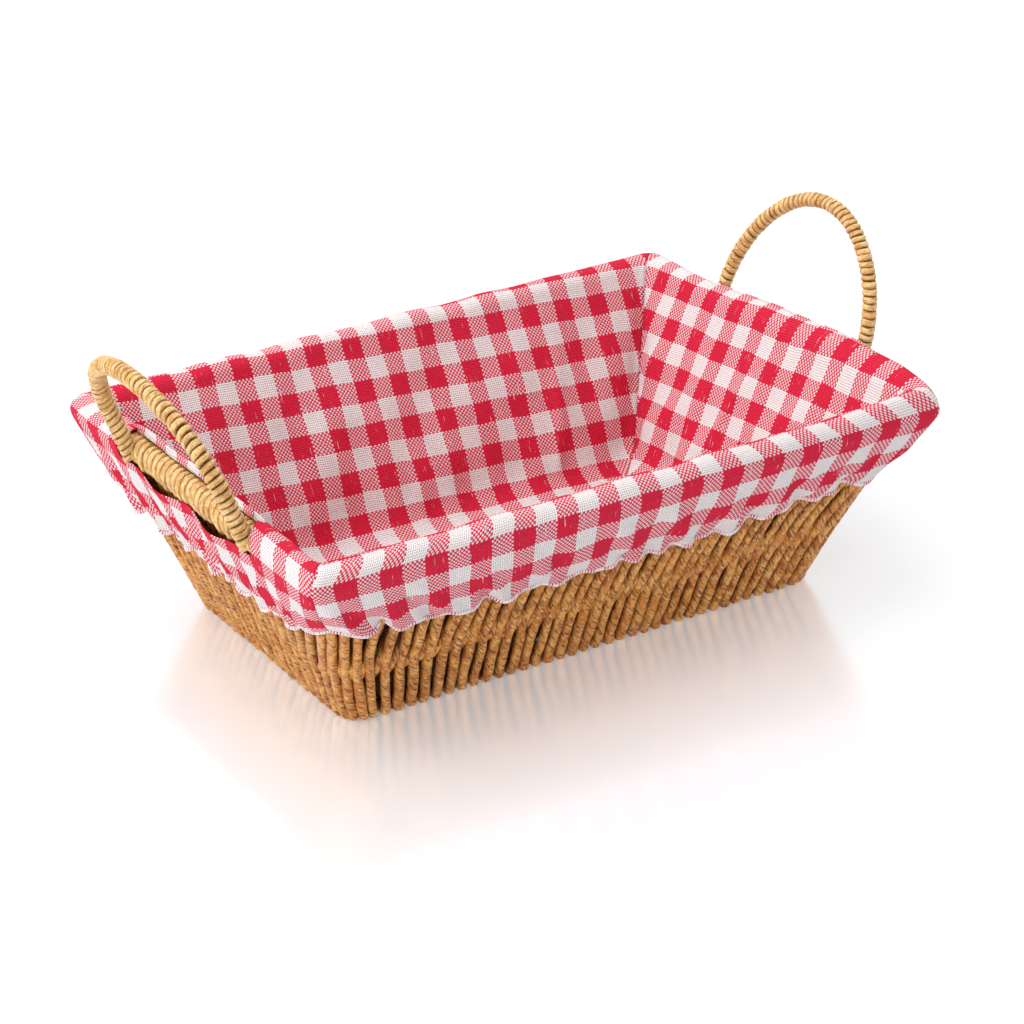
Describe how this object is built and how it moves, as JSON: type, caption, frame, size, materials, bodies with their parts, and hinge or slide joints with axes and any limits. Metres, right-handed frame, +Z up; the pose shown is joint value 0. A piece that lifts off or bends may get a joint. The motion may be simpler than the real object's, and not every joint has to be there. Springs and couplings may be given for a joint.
{
  "type": "bread basket",
  "caption": "Rectangular wicker bread basket with flared walls, two upright arched end handles and a removable checked cotton liner folded over the rim.",
  "frame": {"origin": "centre of the footprint, on the surface the basket stands on", "axes": "+X along the long side towards the right handle, +Y to the back, +Z up"},
  "size_m": [0.3743, 0.2298, 0.1568],
  "materials": {
    "frame_wire": "drawn steel wire with a brown lacquer",
    "wall_cord": "twisted plant-fibre cord, golden brown, dry and slightly waxy",
    "binding_cord": "twisted plant-fibre cord, straw coloured, wound tight",
    "gingham_cotton": "plain-woven red and white gingham, 10 mm checks",
    "edge_tape": "narrow turned and stitched cotton edge",
    "hem_thread": "overlocked cotton edge gathered on elastic"
  },
  "bodies": {
    "basket": {"base_ring_wire": "frame_wire", "lower_ring_wire": "frame_wire", "upper_ring_wire": "frame_wire", "rim_wire": "frame_wire", "corner_posts": "frame_wire", "side_posts": "frame_wire", "floor_wires": "frame_wire", "handle_wire_left": "frame_wire", "handle_wire_right": "frame_wire", "weave_floor": "wall_cord", "weave_lower_front": "wall_cord", "weave_lower_back": "wall_cord", "weave_lower_left": "wall_cord", "weave_lower_right": "wall_cord", "weave_upper_front": "wall_cord", "weave_upper_back": "wall_cord", "weave_upper_left": "wall_cord", "weave_upper_right": "wall_cord", "rim_binding_front": "binding_cord", "rim_binding_back": "binding_cord", "rim_binding_left": "binding_cord", "rim_binding_right": "binding_cord", "handle_wrap_left": "binding_cord", "handle_wrap_right": "binding_cord"},
    "liner": {"liner_main": "gingham_cotton", "liner_left": "gingham_cotton", "liner_right": "gingham_cotton", "slit_edge_left": "edge_tape", "slit_edge_right": "edge_tape", "hem_elastic": "hem_thread"}
  },
  "joints": [
    {"name": "liner_lift", "type": "slide", "parent": "basket", "child": "liner", "axis": [0, 0, 1], "range_m": [0, 0.18], "deforming": ["liner_main", "liner_left", "liner_right", "slit_edge_left", "slit_edge_right", "hem_elastic"]}
  ]
}
